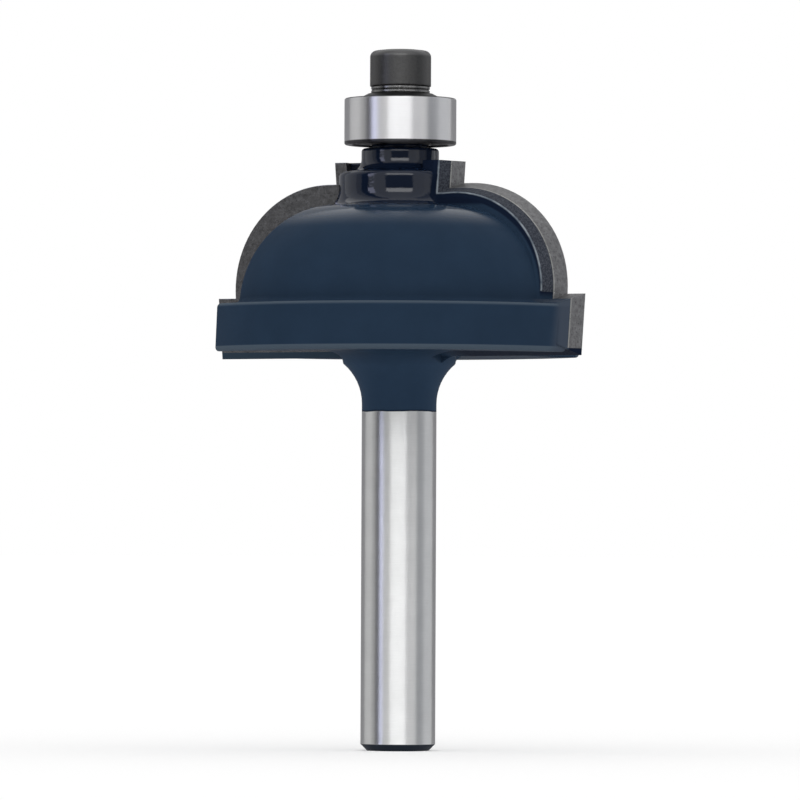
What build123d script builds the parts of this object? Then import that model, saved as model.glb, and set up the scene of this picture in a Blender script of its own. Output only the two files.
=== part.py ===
from build123d import *

import os
from math import asin, cos, degrees, radians, sin, tan

# Piloted classical cove router bit with a 1/4 in shank.
# Millimetres. +Z runs up the axis, from the shank end towards the pilot bearing,
# and the origin is the centre of the shank's end face. Seen from above, the bit
# cuts while it turns anticlockwise.

INCH = 25.4

# ---------------------------------------------------------------- cutting profile
CORE_RADIUS = 0.25 * INCH          # radius at which the convex arc crests
ARC_RADIUS = 0.38 * INCH           # convex quarter arc
STEP_WIDTH = 0.065 * INCH          # the small square step at the arc's foot
UPPER_STEP = 1.75                  # height of the step above the arc
UPPER_STEP_INSET = 0.7             # that step inside the arc's crest
RIM_HEIGHT = 5.2                   # height of the cutting edge round the rim

# ---------------------------------------------------------------- carbide tips
TIP_COUNT = 2
TIP_AZIMUTH = -26.5                # first cutting edge, degrees from +X
TIP_THICKNESS = 1.65
TIP_OVERHANG = 0.55                # tips below the underside beside the flare
TIP_INSET = 0.6                    # tips end this far inside the collar
BRAZE_THICKNESS = 0.15
RELIEF_ANGLE = 15.0                # how fast the ground land falls away behind the edge
SHEAR_ANGLE = 8.0                  # lean of the cutting face, top edge leading
SHEAR_RISE = 3.4                   # above the rim, the face passes through the axis
STEEL_LAND = 1.3                   # steel ground with the carbide, behind the braze
LAND_BACK_RUN = 0.35               # the sloping step behind the land
LAND_BACK_DROP = 0.55

# ---------------------------------------------------------------- turned body
SHANK_RADIUS = 0.125 * INCH
SHANK_CHAMFER = 0.55
FLARE_RADIUS = 4.4                 # concave sweep from the shank to the head
UNDERSIDE = 33.95                  # height of the underside beside the flare
UNDERSIDE_DISH = 0.33              # the underside's rim hangs this much lower
RIM_CLEARANCE = 0.4                # body inside the cutting circle, against kickback
RIM_EDGE = 0.35
SHELF_DROP = 0.94                  # top of the body's rim below the cutting edge's top
SHELF_FILLET = 0.5
DOME_INSET = 1.15                  # dome's radius below the cutting arc's
DOME_SHIFT = 0.4                   # dome's centre outside the arc's; it rises from the shelf
COLLAR_INSET = 1.15                # collar inside the profile's core
COLLAR_DROP = 0.95                 # collar's top edge below the tips' top
COLLAR_RISE = 0.35                 # the collar's top face climbs towards the neck
COLLAR_FILLET = 1.4
COLLAR_EDGE = 0.45
NECK_RADIUS = 3.3
NECK_FILLET = 0.95
NECK_RISE = 1.15                   # top of the neck above the tips
NECK_EDGE = 0.3
SEAT_HEIGHT = 0.3                  # raised seat that only the inner ring touches
SEAT_INSET = 0.14                  # seat inside the inner ring's land

# ---------------------------------------------------------------- chip gullets
GULLET_ANGLE = 50.0                # between a cutting face and the wing ahead of it
GULLET_MARGIN = 0.1                # floor of the gullet outside the collar
GULLET_OFFSET = 1.6                # set-over of the trailing wall
GULLET_FILLET = 2.0

# ---------------------------------------------------------------- pilot bearing
BEARING_BORE = 0.125 * INCH
BEARING_DIAMETER = 0.375 * INCH
BEARING_WIDTH = 0.15625 * INCH
BALL_COUNT = 7
BALL_DIAMETER = 0.0625 * INCH
GROOVE_PLAY = 0.03                 # race groove radius over the ball's radius
GROOVE_DEPTH = 0.209               # each race's land past the ball's nearest point
RING_EDGE = 0.18
SHIELD_THICKNESS = 0.2
SHIELD_RECESS = 0.55               # depth of the shield's shoulder below the face
SHIELD_LEDGE = 0.39                # width of the shoulder that the shield sits on
SHIELD_GAP = 0.12                  # shield's bore over the inner ring
SHIELD_LIP = 0.12
SNAP_THICKNESS = 0.2
SNAP_WIDTH = 0.32
SNAP_GROOVE = 0.07
SNAP_OPENING = 24.0                # degrees
SEAT_PLAY = 0.02                   # slip fit of the shields and snap rings
CAGE_THICKNESS = 0.72
CAGE_WALL = 0.2                    # cage ring under the balls
CAGE_PRONGS = 0.55                 # cage above the balls' centres
POCKET_PLAY = 0.04

# ---------------------------------------------------------------- clamping stack
CAP_COVER = 0.62                   # dust cap past the shield's bore
CAP_THICKNESS = 0.4
CAP_LIFT = 0.1                     # keeps the cap off the turning parts
CAP_SHOULDER = 0.25                # cap's flat top past the washers
WASHER_INSET = 0.1                 # washers inside the screw's head
WASHER_THICKNESS = 0.32
WASHER_EDGE = 0.08
SPRING_SPLIT = 9.0                 # degrees
HOLE_PLAY = 0.05                   # washers over the screw, on the radius
BORE_PLAY = 0.0275                 # bearing's bore over the screw, on the radius
SCREW_LENGTH = 0.5 * INCH
SCREW_TIP_CHAMFER = 0.35
HEAD_OVERHANG = 1.04               # head past the screw's shank
HEAD_HEIGHT = 3.1
HEAD_FLAT = 1.5                    # radius of the head's flat top
HEAD_CROWN = 0.13
HEAD_EDGE = 0.55
SOCKET_ACROSS = 0.09375 * INCH
SOCKET_DEPTH = 1.6
SOCKET_CHAMFER = 0.15
TAP_PLAY = 0.02
TAP_RUNOUT = 1.0                   # tapped hole below the screw's end
DRILL_POINT = 118.0

# ---------------------------------------------------------------- derived heights
PROFILE_BASE = UNDERSIDE - TIP_OVERHANG
RIM_TOP = PROFILE_BASE + RIM_HEIGHT
ARC_TOP = RIM_TOP + ARC_RADIUS
PROFILE_TOP = ARC_TOP + UPPER_STEP
SHEAR_HEIGHT = RIM_TOP + SHEAR_RISE
SHELF = RIM_TOP - SHELF_DROP
COLLAR_TOP = PROFILE_TOP - COLLAR_DROP
NECK_TOP = PROFILE_TOP + NECK_RISE
SEAT_TOP = NECK_TOP + SEAT_HEIGHT
BEARING_MIDDLE = SEAT_TOP + BEARING_WIDTH / 2
BEARING_TOP = SEAT_TOP + BEARING_WIDTH
CAP_TOP = BEARING_TOP + CAP_THICKNESS
LOWER_WASHER_TOP = CAP_TOP + WASHER_THICKNESS
HEAD_BASE = LOWER_WASHER_TOP + WASHER_THICKNESS

# ---------------------------------------------------------------- derived radii and widths
CUTTING_RADIUS = CORE_RADIUS + ARC_RADIUS + STEP_WIDTH
RIM_RADIUS = CUTTING_RADIUS - RIM_CLEARANCE
DOME_RADIUS = ARC_RADIUS - DOME_INSET
DOME_CENTRE = CORE_RADIUS + DOME_SHIFT
UPPER_STEP_RADIUS = CORE_RADIUS - UPPER_STEP_INSET
COLLAR_RADIUS = CORE_RADIUS - COLLAR_INSET
TIP_ROOT = COLLAR_RADIUS - TIP_INSET
GULLET_FLOOR = COLLAR_RADIUS + GULLET_MARGIN
SLOT_WIDTH = TIP_THICKNESS + BRAZE_THICKNESS
LAND_WIDTH = SLOT_WIDTH + STEEL_LAND
RELIEF_SLOPE = tan(radians(RELIEF_ANGLE))
BALL_RADIUS = BALL_DIAMETER / 2
PITCH_RADIUS = (BEARING_BORE + BEARING_DIAMETER) / 4
INNER_LAND_RADIUS = PITCH_RADIUS - BALL_RADIUS + GROOVE_DEPTH
OUTER_LAND_RADIUS = PITCH_RADIUS + BALL_RADIUS - GROOVE_DEPTH
SHIELD_SEAT_RADIUS = OUTER_LAND_RADIUS + SHIELD_LEDGE
SHIELD_BORE = INNER_LAND_RADIUS + SHIELD_GAP
SEAT_RADIUS = INNER_LAND_RADIUS - SEAT_INSET
SCREW_RADIUS = BEARING_BORE / 2 - BORE_PLAY
HEAD_RADIUS = SCREW_RADIUS + HEAD_OVERHANG
WASHER_BORE = SCREW_RADIUS + HOLE_PLAY
WASHER_RADIUS = HEAD_RADIUS - WASHER_INSET
CAP_TOP_RADIUS = WASHER_RADIUS + CAP_SHOULDER
CAP_RADIUS = SHIELD_BORE + CAP_COVER


def turned_polygon(*points, corners=(), sweep=360):
    """Revolve a polygon of (radius, height) points, with (point, radius) fillets."""
    section = make_face(Polyline(*points, close=True))
    for point, radius in corners:
        section = round_corner(section, point, radius)
    return revolve(Plane.XZ * section, Axis.Z, sweep)


def round_corner(section, point, radius):
    """Fillet the corner of a flat section that lies nearest to the point."""
    corner = section.vertices().sort_by_distance((*point, 0))[0]
    return fillet(corner, radius)


def tip_azimuth(number):
    return TIP_AZIMUTH + number * 360 / TIP_COUNT


def tip_directions(number):
    """Outward and forward unit vectors of one cutting face."""
    angle = radians(tip_azimuth(number))
    outward = Vector(cos(angle), sin(angle), 0)
    forward = Vector(-sin(angle), cos(angle), 0)
    return outward, forward


def face_plane(number, setback):
    """Leaning plane of one cutting face, moved back round the bit by a setback.

    Its X runs outward, its Y up the face, and its normal points backward.
    """
    outward, forward = tip_directions(number)
    lean = radians(SHEAR_ANGLE)
    backward = -forward * cos(lean) + Vector(0, 0, sin(lean))
    origin = Vector(0, 0, SHEAR_HEIGHT) - forward * setback
    return Plane(origin=origin, x_dir=outward, z_dir=backward)


def up_face(height):
    """Distance up the leaning face at which a height lies."""
    return (height - SHEAR_HEIGHT) / cos(radians(SHEAR_ANGLE))


def blade_section(drop, root):
    """Cutting profile, pulled in by the relief drop below its flat top, from the root outward."""
    rim_top = up_face(RIM_TOP)
    base = up_face(PROFILE_BASE) + drop
    radius = ARC_RADIUS - drop
    overrun = degrees(asin(drop / radius))
    outer = CUTTING_RADIUS - drop
    arc = CenterArc((CORE_RADIUS, rim_top), radius, -overrun, 90 + 2 * overrun)
    foot, crest = arc @ 0, arc @ 1
    top = up_face(PROFILE_TOP)
    step = UPPER_STEP_RADIUS - drop
    inner_edges = Polyline(crest, (step, crest.Y), (step, top), (root, top), (root, base))
    outer_edges = Polyline((root, base), (outer, base), (outer, foot.Y), foot)
    return make_face(outer_edges + arc + inner_edges)


def blade_layer(number, start, end, root):
    """Slice of the relieved blade between two setbacks behind the cutting face."""
    sections = [
        face_plane(number, setback) * blade_section(setback * RELIEF_SLOPE, root)
        for setback in (start, end)
    ]
    return loft(sections, ruled=True)


def land_backing(number):
    """Steel that backs a tip: ground with it at first, then sloping down."""
    inside = TIP_THICKNESS / 2
    shoulder_drop = LAND_WIDTH * RELIEF_SLOPE
    stations = [
        (inside, inside * RELIEF_SLOPE),
        (LAND_WIDTH, shoulder_drop),
        (LAND_WIDTH + LAND_BACK_RUN, shoulder_drop + LAND_BACK_DROP),
    ]
    sections = [
        face_plane(number, setback) * blade_section(drop, NECK_RADIUS)
        for setback, drop in stations
    ]
    return loft(sections, ruled=True)


def tip_slot(number):
    """Room for one tip and its braze, open to the outside."""
    clear = 2 * CUTTING_RADIUS
    width = clear - TIP_ROOT
    section = Pos(TIP_ROOT + width / 2, 0) * Rectangle(width, clear)
    _, forward = tip_directions(number)
    return extrude(face_plane(number, 0) * section, amount=SLOT_WIDTH, dir=-forward)


def gullet(number):
    """Chip space ahead of one cutting face, leaning with it."""
    outward, forward = tip_directions(number)
    half = radians(GULLET_ANGLE / 2)
    reach = 2 * CUTTING_RADIUS
    setover = GULLET_OFFSET / cos(half)
    floor_corner = (GULLET_FLOOR, GULLET_FLOOR * tan(half) + setover)
    section = make_face(
        Polyline(
            (GULLET_FLOOR, -GULLET_FLOOR * tan(half)),
            (reach, -reach * tan(half)),
            (reach, reach * tan(half) + setover),
            floor_corner,
            close=True,
        )
    )
    section = Rot(0, 0, GULLET_ANGLE / 2) * round_corner(section, floor_corner, GULLET_FILLET)
    low, high = UNDERSIDE - FLARE_RADIUS, NECK_TOP
    lean = Vector(0, 0, 1) + forward * tan(radians(SHEAR_ANGLE))
    origin = Vector(0, 0, SHEAR_HEIGHT) + lean * (low - SHEAR_HEIGHT)
    plane = Plane(origin=origin, x_dir=outward, z_dir=(0, 0, 1))
    return extrude(plane * section, amount=(high - low) * lean.length, dir=lean)


def turned_blank():
    """The lathe-turned steel: shank, flare, rim, dome, collar, neck and seat."""
    dome_foot = DOME_CENTRE + DOME_RADIUS
    dome_top = SHELF + DOME_RADIUS
    rim_base = UNDERSIDE - UNDERSIDE_DISH
    straight_sides = Polyline(
        (DOME_CENTRE, dome_top),
        (COLLAR_RADIUS, dome_top),
        (COLLAR_RADIUS, COLLAR_TOP),
        (NECK_RADIUS, COLLAR_TOP + COLLAR_RISE),
        (NECK_RADIUS, NECK_TOP),
        (SEAT_RADIUS, NECK_TOP),
        (SEAT_RADIUS, SEAT_TOP),
        (0, SEAT_TOP),
        (0, 0),
        (SHANK_RADIUS - SHANK_CHAMFER, 0),
        (SHANK_RADIUS, SHANK_CHAMFER),
        (SHANK_RADIUS, UNDERSIDE),
        (RIM_RADIUS, rim_base),
        (RIM_RADIUS, SHELF),
        (dome_foot, SHELF),
    )
    dome = CenterArc((DOME_CENTRE, SHELF), DOME_RADIUS, 0, 90)
    section = make_face(straight_sides + dome)
    for corner, radius in (
        ((COLLAR_RADIUS, dome_top), COLLAR_FILLET),
        ((COLLAR_RADIUS, COLLAR_TOP), COLLAR_EDGE),
        ((NECK_RADIUS, COLLAR_TOP + COLLAR_RISE), NECK_FILLET),
        ((NECK_RADIUS, NECK_TOP), NECK_EDGE),
        ((SHANK_RADIUS, UNDERSIDE), FLARE_RADIUS),
        ((RIM_RADIUS, rim_base), RIM_EDGE),
        ((RIM_RADIUS, SHELF), RIM_EDGE),
        ((dome_foot, SHELF), SHELF_FILLET),
    ):
        section = round_corner(section, corner, radius)
    return revolve(Plane.XZ * section, Axis.Z)


def tapped_hole():
    """Hole for the cap screw, with the drill's point at its end."""
    radius = SCREW_RADIUS + TAP_PLAY
    bottom = HEAD_BASE - SCREW_LENGTH - TAP_RUNOUT
    point = radius / tan(radians(DRILL_POINT / 2))
    return turned_polygon((0, bottom - point), (radius, bottom), (radius, SEAT_TOP), (0, SEAT_TOP))


def cutter_steel():
    """The blank with both tips' backing, before anything is cut from it."""
    steel = turned_blank()
    for number in range(TIP_COUNT):
        steel += land_backing(number)
    return steel


def cutter_body(steel):
    body = steel
    for number in range(TIP_COUNT):
        body -= gullet(number)
        body -= tip_slot(number)
    return body - tapped_hole()


def carbide_tip(number):
    return blade_layer(number, 0, TIP_THICKNESS, TIP_ROOT)


def braze_layer(number, steel):
    """Filler behind a tip, only where steel stands behind it."""
    return blade_layer(number, TIP_THICKNESS, SLOT_WIDTH, TIP_ROOT) & steel


def bearing_inner_ring():
    half = BEARING_WIDTH / 2
    bore = BEARING_BORE / 2
    ring = turned_polygon(
        (bore, -half),
        (INNER_LAND_RADIUS, -half),
        (INNER_LAND_RADIUS, half),
        (bore, half),
        corners=[((bore, -half), RING_EDGE), ((bore, half), RING_EDGE)],
    )
    return Pos(0, 0, BEARING_MIDDLE) * (ring - race_torus())


def race_torus():
    return Torus(PITCH_RADIUS, BALL_RADIUS + GROOVE_PLAY)


def bearing_outer_ring():
    half = BEARING_WIDTH / 2
    outside = BEARING_DIAMETER / 2
    shoulder = half - SHIELD_RECESS
    groove_top = shoulder + SHIELD_THICKNESS + SEAT_PLAY + SNAP_THICKNESS + SEAT_PLAY
    groove_base = shoulder + SHIELD_THICKNESS
    groove_radius = SHIELD_SEAT_RADIUS + SNAP_GROOVE
    bore_up = [
        (OUTER_LAND_RADIUS, shoulder),
        (SHIELD_SEAT_RADIUS, shoulder),
        (SHIELD_SEAT_RADIUS, groove_base),
        (groove_radius, groove_base),
        (groove_radius, groove_top),
        (SHIELD_SEAT_RADIUS, groove_top),
        (SHIELD_SEAT_RADIUS, half),
    ]
    bore_down = [(radius, -height) for radius, height in reversed(bore_up)]
    ring = turned_polygon(
        *bore_down,
        *bore_up,
        (outside, half),
        (outside, -half),
        corners=[((outside, -half), RING_EDGE), ((outside, half), RING_EDGE)],
    )
    return Pos(0, 0, BEARING_MIDDLE) * (ring - race_torus())


def bearing_shield(side):
    """Pressed ring that covers the balls; side is 1 above and -1 below."""
    rim = SHIELD_SEAT_RADIUS - SEAT_PLAY
    base = BEARING_WIDTH / 2 - SHIELD_RECESS
    top = base + SHIELD_THICKNESS
    bend = SHIELD_BORE + SHIELD_LIP
    outline = [
        (SHIELD_BORE, base - SHIELD_LIP),
        (bend, base),
        (rim, base),
        (rim, top),
        (bend, top),
        (SHIELD_BORE, top - SHIELD_LIP),
    ]
    section = [(radius, side * height) for radius, height in outline]
    return Pos(0, 0, BEARING_MIDDLE) * turned_polygon(*section)


def snap_ring(side):
    """Open wire ring that holds a shield in the outer ring's groove."""
    rim = SHIELD_SEAT_RADIUS + SNAP_GROOVE - SEAT_PLAY
    low = side * (BEARING_WIDTH / 2 - SHIELD_RECESS + SHIELD_THICKNESS + SEAT_PLAY / 2)
    high = low + side * SNAP_THICKNESS
    section = [(rim - SNAP_WIDTH, low), (rim, low), (rim, high), (rim - SNAP_WIDTH, high)]
    return Pos(0, 0, BEARING_MIDDLE) * turned_polygon(*section, sweep=360 - SNAP_OPENING)


def ball_place(number):
    angle = radians(number * 360 / BALL_COUNT)
    return Pos(PITCH_RADIUS * cos(angle), PITCH_RADIUS * sin(angle), BEARING_MIDDLE)


def bearing_cage():
    """Crown cage: a ring under the balls whose prongs part them."""
    inner = PITCH_RADIUS - CAGE_THICKNESS / 2
    outer = PITCH_RADIUS + CAGE_THICKNESS / 2
    base = -(BALL_RADIUS + CAGE_WALL)
    cage = Pos(0, 0, BEARING_MIDDLE) * turned_polygon(
        (inner, base),
        (outer, base),
        (outer, CAGE_PRONGS),
        (inner, CAGE_PRONGS),
    )
    for number in range(BALL_COUNT):
        cage -= ball_place(number) * Sphere(BALL_RADIUS + POCKET_PLAY)
    return cage


def dust_cap():
    """Coned washer that stands on the inner ring and shades the upper shield."""
    lifted = BEARING_TOP + CAP_LIFT
    return turned_polygon(
        (WASHER_BORE, BEARING_TOP),
        (SEAT_RADIUS, BEARING_TOP),
        (SEAT_RADIUS, lifted),
        (CAP_RADIUS, lifted),
        (CAP_TOP_RADIUS, CAP_TOP),
        (WASHER_BORE, CAP_TOP),
    )


def flat_ring(base, sweep=360):
    """Washer with broken outer edges."""
    top = base + WASHER_THICKNESS
    return turned_polygon(
        (WASHER_BORE, base),
        (WASHER_RADIUS - WASHER_EDGE, base),
        (WASHER_RADIUS, base + WASHER_EDGE),
        (WASHER_RADIUS, top - WASHER_EDGE),
        (WASHER_RADIUS - WASHER_EDGE, top),
        (WASHER_BORE, top),
        sweep=sweep,
    )


def flat_washer():
    return flat_ring(CAP_TOP)


def spring_washer():
    """Split lock washer, flattened under the head."""
    return flat_ring(LOWER_WASHER_TOP, sweep=360 - SPRING_SPLIT)


def cap_screw():
    """Socket head cap screw that clamps the bearing to the neck."""
    top = HEAD_BASE + HEAD_HEIGHT
    tip = HEAD_BASE - SCREW_LENGTH
    edge = (HEAD_RADIUS, top - HEAD_CROWN)
    screw = turned_polygon(
        (0, tip),
        (SCREW_RADIUS - SCREW_TIP_CHAMFER, tip),
        (SCREW_RADIUS, tip + SCREW_TIP_CHAMFER),
        (SCREW_RADIUS, HEAD_BASE),
        (HEAD_RADIUS, HEAD_BASE),
        edge,
        (HEAD_FLAT, top),
        (0, top),
        corners=[(edge, HEAD_EDGE)],
    )
    hexagon = RegularPolygon(SOCKET_ACROSS / 2, 6, major_radius=False)
    screw -= Pos(0, 0, top) * extrude(hexagon, amount=-SOCKET_DEPTH)
    mouth = SOCKET_ACROSS / 2 / cos(radians(30))
    screw -= Pos(0, 0, top - SOCKET_CHAMFER) * Cone(
        mouth - SOCKET_CHAMFER,
        mouth + SOCKET_CHAMFER,
        2 * SOCKET_CHAMFER,
    )
    return screw


def build_parts():
    """Every piece of the bit, by node name."""
    steel = cutter_steel()
    parts = {"cutter_body": cutter_body(steel)}
    for number in range(TIP_COUNT):
        parts[f"carbide_tip_{number + 1}"] = carbide_tip(number)
        parts[f"braze_layer_{number + 1}"] = braze_layer(number, steel)
    parts["bearing_inner_ring"] = bearing_inner_ring()
    parts["bearing_outer_ring"] = bearing_outer_ring()
    for number in range(BALL_COUNT):
        parts[f"bearing_ball_{number + 1}"] = ball_place(number) * Sphere(BALL_RADIUS)
    parts["bearing_cage"] = bearing_cage()
    for side, name in ((1, "upper"), (-1, "lower")):
        parts[f"bearing_shield_{name}"] = bearing_shield(side)
        parts[f"shield_snap_ring_{name}"] = snap_ring(side)
    parts["dust_cap"] = dust_cap()
    parts["flat_washer"] = flat_washer()
    parts["spring_washer"] = spring_washer()
    parts["cap_screw"] = cap_screw()
    return parts


def main():
    os.makedirs("parts", exist_ok=True)
    for name, solid in build_parts().items():
        export_step(solid, f"parts/{name}.step")


if __name__ == "__main__":
    main()
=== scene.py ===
from math import atan, cos, degrees, radians, sin, tan

import bpy
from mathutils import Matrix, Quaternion, Vector


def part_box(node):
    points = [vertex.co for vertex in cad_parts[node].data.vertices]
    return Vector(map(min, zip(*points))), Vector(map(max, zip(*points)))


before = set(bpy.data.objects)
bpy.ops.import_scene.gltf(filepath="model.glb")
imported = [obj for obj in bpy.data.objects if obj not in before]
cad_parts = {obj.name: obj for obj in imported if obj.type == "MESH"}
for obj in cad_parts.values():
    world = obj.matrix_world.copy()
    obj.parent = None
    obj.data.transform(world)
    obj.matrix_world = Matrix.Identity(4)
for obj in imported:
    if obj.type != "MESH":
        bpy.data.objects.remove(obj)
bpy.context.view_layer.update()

# Looks for a piloted router bit: enamelled head, ground steel shank, carbide tips, polished
# ball bearing and a black oxide cap screw. The CAD nodes keep their shapes; everything here
# is finish, light and view. Places and shader distances are in millimetres.

MM = 0.001

# ---------------------------------------------------------------- the object's own places
TIP_AZIMUTH = radians(-26.5)       # first cutting edge, from +X
SHEAR = radians(8.0)               # lean of the cutting faces
SHEAR_HEIGHT = 42.0                # here a cutting face passes through the axis
TIP_FOOT = 34.0                    # enamel has run onto the tips below this
FOOT_INNER, FOOT_OUTER = 5.5, 7.5  # that enamel darkens between these radii: painted shade under the rim
LAND_START, LAND_END = 1.80, 3.12  # behind a cutting face: the strip ground with the tip
LAND_FLOOR = 38.7                  # the land is bare only above the rim
LAND_INNER = 3.4                   # and only outside this, along the tips
BLOCK_INNER = 3.0                  # the block behind a tip starts here, along the tips
BLOCK_RUNS = 0.70, 0.55            # it slopes off behind its land: lower part, upper part
BLOCK_CHANGE = 47.0                # the upper part starts here
HEEL_INNER = 4.2                   # the land's rear edge shows outside this
DOME_CENTRE, DOME_FOOT = 6.75, 38.0    # radius and height of the dome's centre
DOME_RADIUS = 8.5
RIM_RADIUS = 17.25
RIM_LOW, RIM_HIGH = 33.95, 37.66
FLARE_TOP = 32.6                   # the flare is lighter below this: painted light standing in for the floor's reflection
PAINT_LINE = 28.72                 # the enamel starts here
GLOSS_START, GLOSS_END = 44.0, 46.2    # the enamel gets glossier between these
DEEP_START = 46.05                 # and darker from here up: the collar and neck, with a painted reflection of the collar on the crest just below them
END_CHAMFER = 0.56                 # the shank's lower edge, dark with a painted reflection
RING_CORNER = 0.26                 # the bearing ring's lower corner, dark with a painted reflection
RING_TOP_EDGE = 0.10               # its dark upper side face
SCREW_EDGE = 0.62                  # edge round the top of the screw's head, smoother, with a painted highlight

# ---------------------------------------------------------------- the photograph's view
PHOTO_SIZE = 800                   # pixels, both ways
FOCAL = 7153.0                     # pixels
DISTANCE = 608.0                   # from the bit's axis
EYE_HEIGHT = 16.9                  # above the shank's end
HORIZON_ROW = 551.4                # pixel row at the eye's height
AXIS_COLUMN = 399.2                # pixel column of the bit's axis at mid height
ROLL = radians(-0.24)
SENSOR = 36.0
CLIP = 0.05, 50.0                  # metres

# ---------------------------------------------------------------- the studio
# Azimuths are seen from the bit: 0 towards the camera, positive to its right, in degrees.
FLOOR_HALF = 20.0                  # metres
FLOOR_PALE = (0.8, 0.8, 0.8)
FLOOR_LIFT = 0.21                  # brings the lit floor up to white for the eye alone
WHITE = (1.0, 1.0, 1.0)
CARD_EDGE = 2.0                    # softness of every card's sides
CARDS = (                          # azimuth, half width, lowest, highest, radiance
    (180.0, 50.0, -90.0, 35.0, (0.34, 0.34, 0.35)),     # dim wall behind
    (-108.0, 19.0, -90.0, 75.0, (0.74, 0.74, 0.74)),    # left side
    (105.0, 17.0, -90.0, 75.0, (0.72, 0.73, 0.75)),     # right side
    (-71.0, 8.0, -90.0, 80.0, (0.03, 0.03, 0.04)),      # the dark stripe at the left
    (-85.0, 6.0, -90.0, 80.0, (0.45, 0.45, 0.45)),      # and its soft flank
    (73.0, 13.0, -90.0, 75.0, (0.42, 0.43, 0.45)),      # the grey stripe at the right
    (-36.0, 10.0, -90.0, 75.0, (0.90, 0.90, 0.90)),     # both sides of the front
    (34.0, 11.0, -90.0, 75.0, (0.90, 0.90, 0.91)),
    (-57.0, 5.5, -90.0, 3.0, (0.20, 0.20, 0.20)),       # foot of the blue strip light
    (-57.0, 5.5, 3.0, 34.0, (3.0, 3.1, 4.0)),           # the blue strip light
    (-1.5, 24.5, -5.0, 9.0, (0.15, 0.15, 0.15)),        # gap under the front panel
    (-1.5, 24.5, 9.0, 32.0, (4.6, 4.6, 4.6)),           # the bright front panel
)

# ---------------------------------------------------------------- colours and gloss
ENAMEL = (0.0165, 0.0325, 0.0595)
DARK_ENAMEL_AND_SHADE = (0.0045, 0.0095, 0.0240)      # glossy, on the collar and neck; also painted shade on the blocks behind the tips and on the tips' feet under the rim, a painted reflection of the collar on the dome's crest, and a darker band along the paint line
PAINTED_EDGE_LIGHT = (0.0640, 0.0880, 0.1180)      # painted highlight on edges
FACE_ENAMEL = (0.0300, 0.0480, 0.0700)      # run onto a cutting face
RIM_END_SHEEN = (0.0520, 0.0660, 0.0920)   # painted sheen where the rim runs out behind a tip
CHAMFER_DARK_REFLECTION = (0.0170, 0.0240, 0.0380)      # painted dark reflection on the shank's chamfer
EDGE_GLINT = (0.3200, 0.3600, 0.4000)             # painted glints along the land's rear edge
LAND_DARK, LAND_LIGHT = (0.026, 0.030, 0.041), (0.066, 0.074, 0.092)
SHANK_STEEL = (0.73, 0.735, 0.735)
RING_STEEL = (0.71, 0.71, 0.72)
# darker side faces of the bearing rings; on the lower corner a painted dark reflection
RING_SIDE = (0.06, 0.06, 0.065)
CARBIDE_LAND = (0.185, 0.185, 0.190)
CARBIDE_FACE = (0.22, 0.22, 0.23)
SILVER_DARK, SILVER_LIGHT = (0.24, 0.24, 0.23), (0.36, 0.36, 0.35)
OXIDE_DARK, OXIDE_LIGHT = (0.005, 0.005, 0.0053), (0.017, 0.017, 0.0175)
# painted highlight round the top of the screw's head
OXIDE_EDGE_LIGHT = (0.080, 0.080, 0.082)

# roughness
BARE_ROUGH, SATIN_ROUGH, GLOSS_ROUGH, LAND_ROUGH = 0.42, 0.42, 0.04, 0.5
# specular level
BARE_SHINE, SATIN_SHINE, GLOSS_SHINE, CHAMFER_SHINE, FOOT_SHINE = 0.5, 0.02, 0.37, 0.08, 0.02

PLAIN_METALS = {                            # colour and roughness
    "ball_steel": ((0.75, 0.75, 0.77), 0.08),
    "cage_steel": ((0.50, 0.50, 0.50), 0.35),
    "shield_steel": ((0.12, 0.12, 0.125), 0.45),
    "snap_ring_steel": ((0.30, 0.30, 0.31), 0.35),
    "dark_steel": ((0.05, 0.05, 0.05), 0.4),
    "washer_steel": ((0.18, 0.18, 0.18), 0.25),
}

NODE_SLOTS = {                              # node, without its number
    "cutter_body": "cutter_steel",
    "carbide_tip": "carbide",
    "braze_layer": "braze",
    "bearing_inner_ring": "bearing_steel",
    "bearing_outer_ring": "bearing_steel",
    "bearing_ball": "ball_steel",
    "bearing_cage": "cage_steel",
    "bearing_shield_upper": "shield_steel",
    "bearing_shield_lower": "shield_steel",
    "shield_snap_ring_upper": "snap_ring_steel",
    "shield_snap_ring_lower": "snap_ring_steel",
    "dust_cap": "dark_steel",
    "flat_washer": "washer_steel",
    "spring_washer": "washer_steel",
    "cap_screw": "black_oxide",
}


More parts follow.
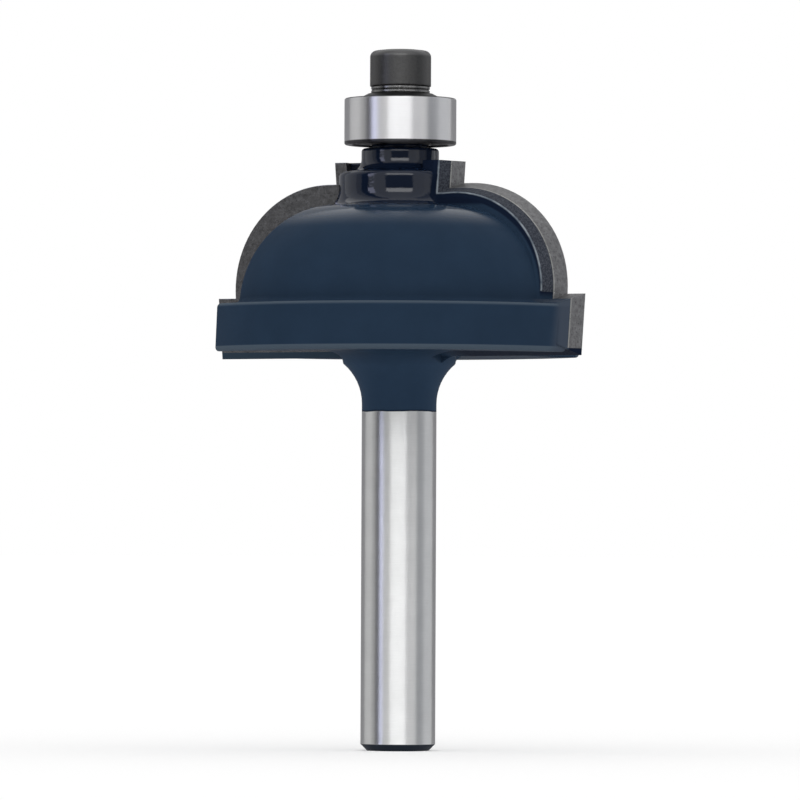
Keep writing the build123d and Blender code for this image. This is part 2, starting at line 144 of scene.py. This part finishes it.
# ================================================================ shader helpers
class Nodes:
    """Short calls that build one shader tree."""

    def __init__(self, tree):
        tree.nodes.clear()
        self.tree = tree

    def node(self, kind, **settings):
        made = self.tree.nodes.new("ShaderNode" + kind)
        for key, value in settings.items():
            setattr(made, key, value)
        return made

    def feed(self, socket, value):
        if isinstance(value, bpy.types.NodeSocket):
            self.tree.links.new(value, socket)
        elif isinstance(value, tuple) and len(value) == 3 and socket.type == "RGBA":
            socket.default_value = (*value, 1.0)
        else:
            socket.default_value = value

    def math(self, operation, *values):
        made = self.node("Math", operation=operation)
        for socket, value in zip(made.inputs, values):
            self.feed(socket, value)
        return made.outputs[0]

    def add(self, first, second):
        return self.math("ADD", first, second)

    def minus(self, first, second):
        return self.math("SUBTRACT", first, second)

    def times(self, first, second):
        """Product, or where two masks are both on."""
        return self.math("MULTIPLY", first, second)

    def either(self, first, second):
        return self.math("MAXIMUM", first, second)

    def mix(self, factor, low, high):
        """Colour between low and high."""
        made = self.node("Mix", data_type="RGBA")
        for index, value in ((0, factor), (6, low), (7, high)):
            self.feed(made.inputs[index], value)
        return made.outputs[2]

    def blend(self, factor, low, high):
        """Number between low and high."""
        made = self.node("Mix", data_type="FLOAT")
        for index, value in ((0, factor), (2, low), (3, high)):
            self.feed(made.inputs[index], value)
        return made.outputs[0]

    def range(self, value, start, end, low=0.0, high=1.0, smooth=False):
        kind = "SMOOTHSTEP" if smooth else "LINEAR"
        made = self.node("MapRange", interpolation_type=kind)
        for socket, given in zip(made.inputs, (value, start, end, low, high)):
            self.feed(socket, given)
        return made.outputs[0]

    def past(self, value, edge, softness, smooth=False):
        """0 up to an edge, 1 beyond it."""
        return self.range(value, edge, edge + softness, 0.0, 1.0, smooth)

    def before(self, value, edge, softness, smooth=False):
        """1 up to an edge, 0 beyond it."""
        return self.range(value, edge, edge + softness, 1.0, 0.0, smooth)

    def scaled(self, vector, factor):
        made = self.node("VectorMath", operation="SCALE")
        self.feed(made.inputs[0], vector)
        self.feed(made.inputs["Scale"], factor)
        return made.outputs[0]

    def axes(self, vector):
        made = self.node("SeparateXYZ")
        self.feed(made.inputs[0], vector)
        return made.outputs


class Finish(Nodes):
    """One material, with its place on the object in millimetres."""

    def __init__(self, name):
        self.material = bpy.data.materials.new(name)
        self.material.use_nodes = True
        super().__init__(self.material.node_tree)
        self.output = self.node("OutputMaterial")
        self.place = self.scaled(self.node("TexCoord").outputs["Object"], 1 / MM)
        self.x, self.y, self.z = self.axes(self.place)

    # ------------------------------------------------------------ texture and relief
    def turned_place(self, around, up):
        """Place in lathe coordinates, stretched, for marks that follow the turning."""
        made = self.node("CombineXYZ")
        self.feed(made.inputs[0], self.times(self.math("ARCTAN2", self.y, self.x), around))
        self.feed(made.inputs[1], self.radius())
        self.feed(made.inputs[2], self.times(self.z, up))
        return made.outputs[0]

    def stretched_place(self, *factors):
        made = self.node("Mapping")
        self.feed(made.inputs["Vector"], self.place)
        made.inputs["Scale"].default_value = factors
        return made.outputs[0]

    def noise(self, scale, detail=3.0, roughness=0.5, place=None):
        made = self.node("TexNoise")
        self.feed(made.inputs["Vector"], place or self.place)
        self.feed(made.inputs["Scale"], scale)
        self.feed(made.inputs["Detail"], detail)
        self.feed(made.inputs["Roughness"], roughness)
        return made.outputs[0]

    def between(self, noise, low, high, spread=0.2):
        """Numbers from low to high where a noise swings about its middle."""
        return self.range(noise, 0.5 - spread, 0.5 + spread, low, high)

    def bump(self, height, strength, depth, normal=None):
        made = self.node("Bump")
        self.feed(made.inputs["Height"], height)
        made.inputs["Strength"].default_value = strength
        made.inputs["Distance"].default_value = depth * MM
        if normal:
            self.feed(made.inputs["Normal"], normal)
        return made.outputs[0]

    def rounded(self, radius):
        """Normal that softens sharp edges."""
        made = self.node("Bevel", samples=6)
        made.inputs["Radius"].default_value = radius * MM
        return made.outputs[0]

    # ------------------------------------------------------------ places on the object
    def length(self, first, second):
        squares = [self.times(side, side) for side in (first, second)]
        return self.math("SQRT", self.add(*squares))

    def radius(self):
        return self.length(self.x, self.y)

    def along_tips(self):
        """Distance out along the tips, negative towards the second one."""
        return self.add(self.times(self.x, cos(TIP_AZIMUTH)), self.times(self.y, sin(TIP_AZIMUTH)))

    def outside(self, distance, softness):
        """1 further out than this along either tip."""
        return self.past(self.math("ABSOLUTE", self.along_tips()), distance, softness)

    def setback(self):
        """Distance behind the nearer cutting face, at the same height."""
        forward = self.minus(
            self.times(self.y, cos(TIP_AZIMUTH)),
            self.times(self.x, sin(TIP_AZIMUTH)),
        )
        behind = self.times(self.times(forward, self.math("SIGN", self.along_tips())), -1.0)
        lean = self.times(self.minus(self.z, SHEAR_HEIGHT), tan(SHEAR))
        return self.add(behind, lean)

    def land(self, behind):
        """1 on the bare strip that is ground with a tip."""
        strip = self.times(
            self.past(behind, LAND_START - 0.1, 0.1),
            self.before(behind, LAND_END, 0.05),
        )
        above = self.past(self.z, LAND_FLOOR - 0.05, 0.05)
        return self.times(strip, self.times(above, self.outside(LAND_INNER - 0.05, 0.05)))

    def heel_edge(self, behind):
        """1 on the edge where the land ends, where glints are painted."""
        rise = self.past(behind, LAND_END - 0.03, 0.03)
        fall = self.before(behind, LAND_END + 0.06, 0.06)
        edge = self.times(self.times(rise, fall), self.outside(HEEL_INNER, 0.1))
        return self.times(edge, self.past(self.z, LAND_FLOOR, 0.1))

    def block(self, behind):
        """1 on the block behind a tip, with the slope behind its land."""
        lower, upper = (LAND_END + run for run in BLOCK_RUNS)
        rear = self.range(self.z, BLOCK_CHANGE, BLOCK_CHANGE + 0.2, lower, upper)
        near = self.math("LESS_THAN", behind, rear)
        starts = self.past(behind, LAND_START - 0.1, 0.1)
        return self.times(self.outside(BLOCK_INNER, 0.1), self.times(near, starts))

    def above_dome(self):
        """Distance outside the dome's round surface, measured from its centre circle."""
        out = self.minus(self.radius(), DOME_CENTRE)
        up = self.minus(self.z, DOME_FOOT)
        return self.minus(self.length(out, up), DOME_RADIUS)

    def rim_edges(self):
        """1 on the rim's two edges, where a highlight is painted."""
        outer = self.past(self.radius(), RIM_RADIUS - 0.36, 0.08)
        upper = self.past(self.z, RIM_HIGH - 0.30, 0.18)
        lower = self.before(self.z, RIM_LOW + 0.08, 0.07)
        return self.times(outer, self.either(upper, lower))

    def rim_end(self, behind):
        """1 where the rim runs out behind a tip, fading away from it; a sheen is painted there."""
        near_tip = self.times(
            self.past(behind, 1.4, 0.1),
            self.before(behind, 2.6, 1.6, smooth=True),
        )
        below = self.before(self.z, LAND_FLOOR - 0.7, 0.1)
        return self.times(near_tip, self.times(below, self.past(self.radius(), 14.0, 1.0)))

    def tip_foot(self):
        """1 where enamel has run onto the lower end of a tip and its filler."""
        return self.before(self.z, TIP_FOOT - 0.05, 0.05)

    # ------------------------------------------------------------ the shader itself
    def surface(self, **values):
        """Ends the tree in one Principled shader."""
        made = self.node("BsdfPrincipled")
        for name, value in values.items():
            self.feed(made.inputs[name.replace("_", " ")], value)
        self.tree.links.new(made.outputs[0], self.output.inputs[0])
        return self.material

    def ground(self, **values):
        """A surface ground round the axis, which smears its reflections up and down."""
        tangent = self.node("Tangent", direction_type="RADIAL", axis="Z")
        return self.surface(Tangent=tangent.outputs[0], Anisotropic_Rotation=0.25, **values)


# ================================================================ materials
def turned_steel(s, marks):
    """Colour of the bare shank."""
    patches = s.noise(0.55, detail=3.0)
    return s.scaled(SHANK_STEEL, s.times(s.between(marks, 0.94, 1.03), s.between(patches, 0.96, 1.03)))


def head_enamel(s, behind, paint_edge):
    """Colour of the enamel: satin navy, lighter on the flare, darker on the glossy collar and neck and
    along the paint line, with painted light and shade as marked below.
    """
    flare = s.before(s.z, FLARE_TOP, 1.0)
    satin = s.mix(s.between(s.noise(0.35, detail=3.0), 0.0, 1.0), ENAMEL, s.scaled(ENAMEL, 1.12))
    # painted light on the flare, lighter below its top
    satin = s.scaled(satin, s.blend(flare, 1.0, 1.4))
    # painted shade on the block standing proud of the dome behind each tip, and a painted reflection
    # of the collar on the crest just below it; the collar and neck above are darker glossy enamel, and
    # a darker band runs along the paint line
    proud = s.times(s.past(s.above_dome(), 0.10, 0.12), s.past(s.z, DOME_FOOT + 0.2, 0.4))
    dark_and_shade = s.either(proud, s.past(s.z, DEEP_START, 0.25))
    colour = s.mix(s.either(dark_and_shade, s.times(paint_edge, 0.85)), satin, DARK_ENAMEL_AND_SHADE)
    # painted highlight along the rim's two edges
    colour = s.mix(s.rim_edges(), colour, PAINTED_EDGE_LIGHT)
    # painted glints along the land's rear edge
    glints = s.mix(s.between(s.noise(1.1, detail=2.0), 0.0, 1.0), PAINTED_EDGE_LIGHT, EDGE_GLINT)
    return s.mix(s.heel_edge(behind), colour, glints)


def cutter_steel():
    """One forging: bare ground shank, enamelled head, bare strip behind each tip."""
    s = Finish("cutter_steel")
    behind = s.setback()
    level = s.add(s.z, s.between(s.noise(0.6, detail=2.0), -0.035, 0.035))
    painted = s.past(level, PAINT_LINE, 0.05)
    # a darker band along the enamel's lower edge
    paint_edge = s.before(level, PAINT_LINE + 0.10, 0.10)
    end = s.before(s.z, END_CHAMFER - 0.02, 0.05)
    bare = s.minus(1.0, s.either(painted, end))
    land = s.land(behind)
    marks = s.noise(1.0, detail=4.0, roughness=0.6, place=s.turned_place(2.0, 60.0))
    specks = s.range(s.noise(7.0, detail=3.0, roughness=0.65), 0.42, 0.60)

    colour = s.mix(painted, turned_steel(s, marks), head_enamel(s, behind, paint_edge))
    # painted sheen where the rim runs out behind a tip
    colour = s.mix(s.times(s.rim_end(behind), 0.85), colour, RIM_END_SHEEN)
    colour = s.mix(land, colour, s.mix(specks, LAND_DARK, LAND_LIGHT))
    # painted dark reflection on the shank's chamfer
    colour = s.mix(end, colour, CHAMFER_DARK_REFLECTION)

    crest = s.range(s.z, GLOSS_START, GLOSS_END, smooth=True)
    glossy = s.times(crest, s.minus(1.0, s.block(behind)))
    roughness = s.blend(painted, BARE_ROUGH, s.blend(glossy, SATIN_ROUGH, GLOSS_ROUGH))
    shine = s.blend(
        painted,
        s.blend(end, BARE_SHINE, CHAMFER_SHINE),
        s.blend(glossy, SATIN_SHINE, GLOSS_SHINE),
    )
    waves = s.noise(2.4, detail=2.0)
    normal = s.node("Mix", data_type="VECTOR")
    s.feed(normal.inputs[0], painted)
    s.feed(normal.inputs[4], s.bump(marks, 0.15, 0.004, s.rounded(0.06)))
    s.feed(normal.inputs[5], s.bump(waves, 0.35, 0.025, s.rounded(0.22)))
    return s.ground(
        Base_Color=colour,
        Metallic=bare,
        Roughness=s.blend(land, roughness, LAND_ROUGH),
        Specular_IOR_Level=shine,
        Anisotropic=bare,
        Normal=normal.outputs[1],
    )


def carbide():
    """Polished cutting faces, coarser pitted lands, and enamel on the lower ends, darkened further out
    by painted shade under the rim.
    """
    s = Finish("carbide")
    face = s.before(s.setback(), 0.02, 0.03)
    foot = s.tip_foot()
    mottle = s.noise(2.4, detail=5.0, roughness=0.75)
    lines = s.noise(3.0, detail=3.0, roughness=0.6, place=s.stretched_place(0.4, 0.4, 9.0))
    pits = s.noise(5.0, detail=3.0, roughness=0.7)
    tone = s.add(s.between(mottle, 0.60, 1.30), s.between(lines, -0.10, 0.12))
    tone = s.times(tone, s.range(pits, 0.36, 0.44, 0.55, 1.0))
    metal = s.scaled(s.mix(face, CARBIDE_LAND, CARBIDE_FACE), tone)
    # painted shade darkens the enamel on the tips' feet further out, under the rim
    further_out = s.range(s.radius(), FOOT_INNER, FOOT_OUTER)
    enamel = s.mix(face, s.mix(further_out, ENAMEL, DARK_ENAMEL_AND_SHADE), FACE_ENAMEL)
    return s.surface(
        Base_Color=s.mix(foot, metal, enamel),
        Metallic=s.blend(foot, 0.85, 0.0),
        Roughness=s.blend(face, s.between(pits, 0.36, 0.52), 0.14),
        Specular_IOR_Level=s.blend(foot, BARE_SHINE, FOOT_SHINE),
        Normal=s.bump(lines, 0.2, 0.008, s.rounded(0.05)),
    )


def braze():
    """Lumpy silver filler, under the same enamel at its lower end."""
    s = Finish("braze")
    foot = s.tip_foot()
    lumps = s.noise(2.5, detail=3.0, roughness=0.6)
    silver = s.mix(s.between(lumps, 0.0, 1.0), SILVER_DARK, SILVER_LIGHT)
    return s.surface(
        Base_Color=s.mix(foot, silver, ENAMEL),
        Metallic=s.blend(foot, 1.0, 0.0),
        Roughness=s.between(lumps, 0.25, 0.4),
        Specular_IOR_Level=s.blend(foot, BARE_SHINE, FOOT_SHINE),
        Normal=s.bump(lumps, 0.4, 0.03),
    )


def bearing_steel():
    """Ground outside, with darker side faces and a painted dark reflection on the lower corner."""
    s = Finish("bearing_steel")
    low, high = (corner.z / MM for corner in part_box("bearing_outer_ring"))
    # painted dark reflection on the lower corner and bottom face; the upper side face is darker too
    under = s.before(s.z, low + RING_CORNER, 0.06)
    side = s.either(under, s.past(s.z, high - RING_TOP_EDGE, 0.04))
    marks = s.noise(1.0, detail=3.0, roughness=0.6, place=s.turned_place(1.5, 45.0))
    patches = s.noise(0.8, detail=3.0)
    tone = s.times(s.between(marks, 0.98, 1.02), s.between(patches, 0.98, 1.02))
    return s.ground(
        Base_Color=s.mix(side, s.scaled(RING_STEEL, tone), RING_SIDE),
        Metallic=1.0,
        Roughness=s.blend(side, 0.40, 0.46),
        Anisotropic=1.0,
        Normal=s.bump(marks, 0.06, 0.003, s.rounded(0.06)),
    )


def plain_metal(name, colour, roughness):
    s = Finish(name)
    grain = s.noise(4.0, detail=3.0, roughness=0.6)
    return s.surface(
        Base_Color=s.scaled(colour, s.between(grain, 0.85, 1.1)),
        Metallic=1.0,
        Roughness=s.between(grain, roughness * 0.85, roughness * 1.15),
        Normal=s.bump(grain, 0.3, 0.005, s.rounded(0.04)),
    )


def black_oxide():
    """Grainy black, smoother round the top of the head, with a painted highlight there."""
    s = Finish("black_oxide")
    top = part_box("cap_screw")[1].z / MM
    grain = s.noise(6.0, detail=4.0, roughness=0.65)
    # painted highlight round the top of the head, which is also smoother there
    lit_edge = s.times(s.past(s.z, top - SCREW_EDGE, 0.20), s.before(s.z, top - 0.12, 0.06))
    black = s.mix(s.between(grain, 0.0, 1.0, 0.15), OXIDE_DARK, OXIDE_LIGHT)
    return s.surface(
        Base_Color=s.mix(s.times(lit_edge, 0.8), black, OXIDE_EDGE_LIGHT),
        Specular_IOR_Level=0.62,
        Roughness=s.blend(lit_edge, s.between(grain, 0.30, 0.46), 0.26),
        Normal=s.bump(grain, 0.4, 0.02, s.rounded(0.2)),
    )


def make_finish(slot):
    if slot in PLAIN_METALS:
        return plain_metal(slot, *PLAIN_METALS[slot])
    return {
        "cutter_steel": cutter_steel,
        "carbide": carbide,
        "braze": braze,
        "bearing_steel": bearing_steel,
        "black_oxide": black_oxide,
    }[slot]()


def dress_nodes():
    """Gives each CAD node the finish of its kind."""
    made = {}
    for name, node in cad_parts.items():
        slot = NODE_SLOTS[name.rstrip("_0123456789")]
        if slot not in made:
            made[slot] = make_finish(slot)
        node.data.materials.clear()
        node.data.materials.append(made[slot])


# ================================================================ studio
def add_card(world, azimuth, elevation, light, card):
    """Lays one soft-edged bright or dark card over the room's light."""
    at, half, low, high, radiance = card
    turned = world.math("WRAP", world.minus(azimuth, at), 180.0, -180.0)
    across = world.before(world.math("ABSOLUTE", turned), half, CARD_EDGE, smooth=True)
    rise = world.past(elevation, low, CARD_EDGE, smooth=True)
    fall = world.before(elevation, high - CARD_EDGE, CARD_EDGE, smooth=True)
    return world.mix(world.times(across, world.times(rise, fall)), light, radiance)


def studio():
    """Plain white all round, strength 1. Polished surfaces also see the cards in it."""
    made = bpy.data.worlds.new("studio")
    bpy.context.scene.world = made
    made.use_nodes = True
    made.cycles.sampling_method = "NONE"    # sampled light would not know its kind of ray
    world = Nodes(made.node_tree)
    x, y, z = world.axes(world.node("TexCoord").outputs["Generated"])
    azimuth = world.times(world.math("ARCTAN2", x, world.times(y, -1.0)), degrees(1.0))
    elevation = world.times(world.math("ARCSINE", z), degrees(1.0))
    room = WHITE
    for card in CARDS:
        room = add_card(world, azimuth, elevation, room, card)
    polished = world.node("LightPath").outputs["Is Glossy Ray"]
    light = world.node("Background")
    world.feed(light.inputs["Color"], world.mix(polished, WHITE, room))
    world.feed(world.node("OutputWorld").inputs[0], light.outputs[0])


def floor_plane():
    h = FLOOR_HALF
    mesh = bpy.data.meshes.new("floor")
    mesh.from_pydata([(-h, -h, 0), (h, -h, 0), (h, h, 0), (-h, h, 0)], [], [(0, 1, 2, 3)])
    floor = bpy.data.objects.new("floor", mesh)
    bpy.context.scene.collection.objects.link(floor)
    return floor


def pale_floor():
    """White to the eye, still darkened by the bit's shadow, and unseen in reflections."""
    floor = floor_plane()
    s = Finish("floor")
    matt, lift = s.node("BsdfDiffuse"), s.node("Emission")
    seen = s.node("LightPath").outputs["Is Camera Ray"]
    s.feed(matt.inputs["Color"], FLOOR_PALE)
    s.feed(lift.inputs["Strength"], s.times(seen, FLOOR_LIFT))
    total = s.node("AddShader")
    s.feed(total.inputs[0], matt.outputs[0])
    s.feed(total.inputs[1], lift.outputs[0])
    s.feed(s.output.inputs[0], total.outputs[0])
    floor.data.materials.append(s.material)
    floor.visible_glossy = False


def camera():
    """Long lens low beside the shank, pitched up so that the whole bit fills the frame."""
    data = bpy.data.cameras.new("camera")
    data.sensor_width = SENSOR
    data.lens = SENSOR * FOCAL / PHOTO_SIZE
    data.clip_start, data.clip_end = CLIP
    made = bpy.data.objects.new("camera", data)
    bpy.context.scene.collection.objects.link(made)
    pitch = atan((HORIZON_ROW - PHOTO_SIZE / 2) / FOCAL)
    yaw = atan((AXIS_COLUMN - PHOTO_SIZE / 2) / FOCAL)
    made.location = (0, -DISTANCE * MM, EYE_HEIGHT * MM)
    look = Vector((sin(-yaw), cos(yaw), tan(pitch)))
    made.rotation_mode = "QUATERNION"
    made.rotation_quaternion = look.to_track_quat("-Z", "Y")
    made.rotation_quaternion.rotate(Quaternion(look, ROLL))
    bpy.context.scene.camera = made


dress_nodes()
studio()
pale_floor()
camera()
bpy.context.scene.view_settings.view_transform = "Standard"
